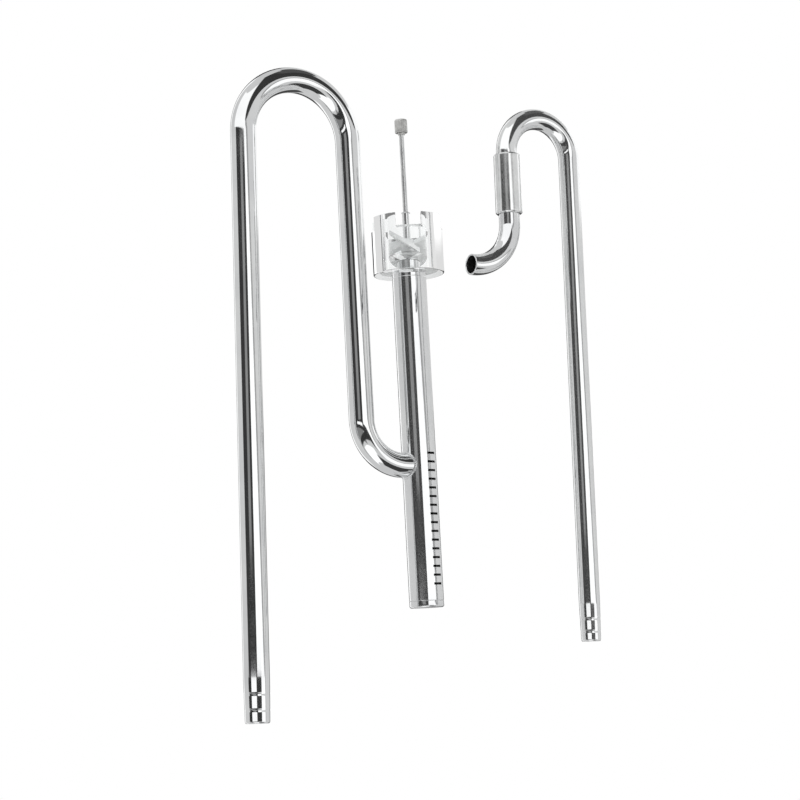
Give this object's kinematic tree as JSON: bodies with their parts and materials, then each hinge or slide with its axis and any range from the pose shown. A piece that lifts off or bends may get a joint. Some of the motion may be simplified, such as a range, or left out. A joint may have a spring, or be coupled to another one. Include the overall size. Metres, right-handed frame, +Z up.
{
  "type": "aquarium filter pipe set",
  "caption": "Polished steel inlet and outlet pipes for an aquarium filter: a rim-hung inlet with slotted skimmer barrel and clear toothed crown, and an outlet with swivelling nozzle.",
  "frame": {"origin": "where the inlet pipe's upper bend sits on the tank's rim: the lowest point of the tube's underside at the top of the bend", "axes": "+Z up, +X from the hose leg outside the tank towards the skimmer inside it, in the inlet pipe's plane"},
  "size_m": [0.2066, 0.1087, 0.4096],
  "materials": {
    "polished_steel": "mirror-polished stainless steel",
    "knurled_steel": "fluted satin stainless steel",
    "clear_acrylic": "polished clear acrylic",
    "black_rubber": "smooth black rubber",
    "black_plastic": "plain black acetal"
  },
  "bodies": {
    "pipes": {"intake_pipe": "polished_steel", "skimmer_barrel": "polished_steel", "barrel_end_cap": "polished_steel", "end_cap_seal": "black_rubber", "skimmer_crown": "clear_acrylic", "crown_seal": "black_rubber", "vane_insert": "clear_acrylic", "rod_guide_sleeve": "polished_steel", "rod_seal": "black_rubber", "return_pipe": "polished_steel", "coupling_sleeve": "polished_steel", "sleeve_seal_upper": "black_rubber", "sleeve_seal_middle": "black_rubber", "sleeve_seal_lower": "black_rubber"},
    "throttle": {"adjusting_rod": "polished_steel", "adjuster_knob": "knurled_steel", "rod_stop_collar": "polished_steel", "throttle_plug": "black_plastic", "plug_nut": "polished_steel"},
    "nozzle": {"nozzle_elbow": "polished_steel", "nozzle_snap_ring": "polished_steel"}
  },
  "joints": [
    {"name": "throttle_slide", "type": "slide", "parent": "pipes", "child": "throttle", "axis": [-0.0209, 0, 0.9998], "range_m": [-0.034, 0.006]},
    {"name": "nozzle_swivel", "type": "hinge", "parent": "pipes", "child": "nozzle", "pos_m": [0.1071, -0.0774, -0.0669], "axis": [0, 0, 1], "continuous": true}
  ]
}
